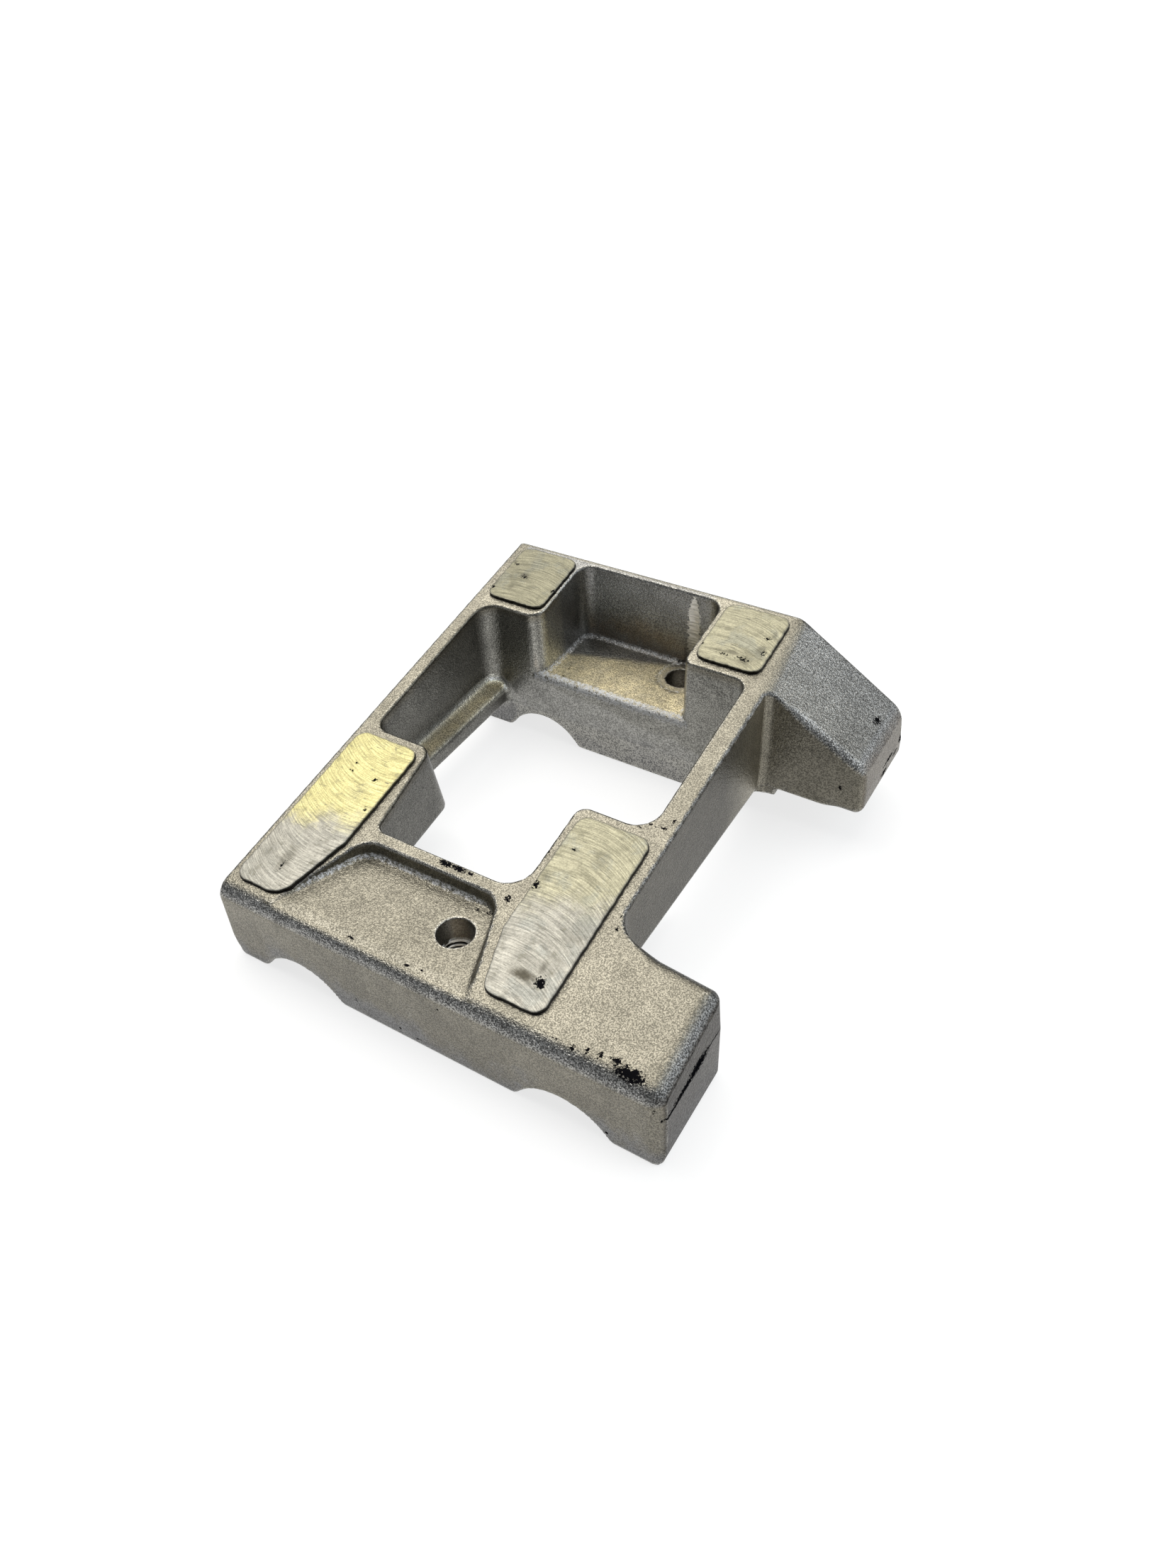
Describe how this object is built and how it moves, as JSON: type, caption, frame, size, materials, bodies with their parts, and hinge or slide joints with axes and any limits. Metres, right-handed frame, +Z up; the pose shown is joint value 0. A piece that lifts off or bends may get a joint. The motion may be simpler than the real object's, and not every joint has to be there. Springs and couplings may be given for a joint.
{
  "type": "kart engine mount",
  "caption": "Cast aluminium frame that clamps on two parallel chassis tubes and carries a kart engine on an inclined seat of machined pads.",
  "frame": {"origin": "front clamp bolt's axis, in the plane of the feet", "axes": "+X across the tubes towards the two extensions, +Y along the tubes towards the raised end, +Z up from the feet"},
  "size_m": [0.1504, 0.1746, 0.0592],
  "materials": {
    "cast_aluminium": "satin"
  },
  "bodies": {
    "root": {"mount_casting": "cast_aluminium"}
  },
  "joints": []
}
